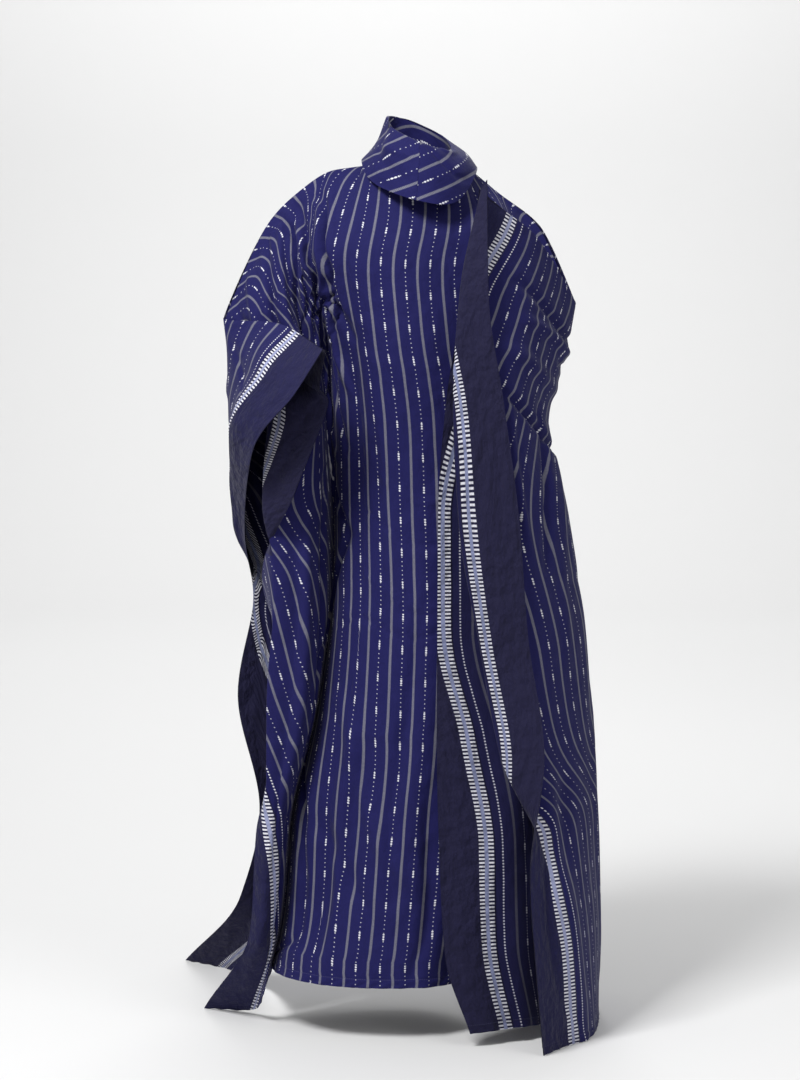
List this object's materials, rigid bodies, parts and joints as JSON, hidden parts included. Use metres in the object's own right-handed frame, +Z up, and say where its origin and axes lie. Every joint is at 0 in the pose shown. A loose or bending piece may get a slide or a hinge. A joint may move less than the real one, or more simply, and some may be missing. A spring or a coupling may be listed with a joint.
{
  "type": "worn dera dress",
  "caption": "Long loose dera dress in striped woven cloth, worn shape: hollow body tube, free bordered wings over bent arms, folded cowl collar.",
  "frame": {"origin": "middle of the shoulder line inside the neck, where the wearer holds the dress up", "axes": "+Z up, +X to the wearer's left, +Y to the wearer's back"},
  "size_m": [0.7723, 0.7191, 1.5881],
  "materials": {
    "body_cloth": "soft plain weave, indigo with heathered grey stripes and white dots, slight sheen",
    "wing_cloth": "soft plain weave, indigo stripes with a dark selvedge band and a white ladder border",
    "cowl_cloth": "soft plain weave, stripes running round the collar"
  },
  "bodies": {
    "root": {"front_body": "body_cloth", "back_body": "body_cloth", "right_wing_front": "wing_cloth", "right_wing_back": "wing_cloth", "left_wing_front": "wing_cloth", "left_wing_back": "wing_cloth", "cowl_collar": "cowl_cloth"}
  },
  "joints": []
}
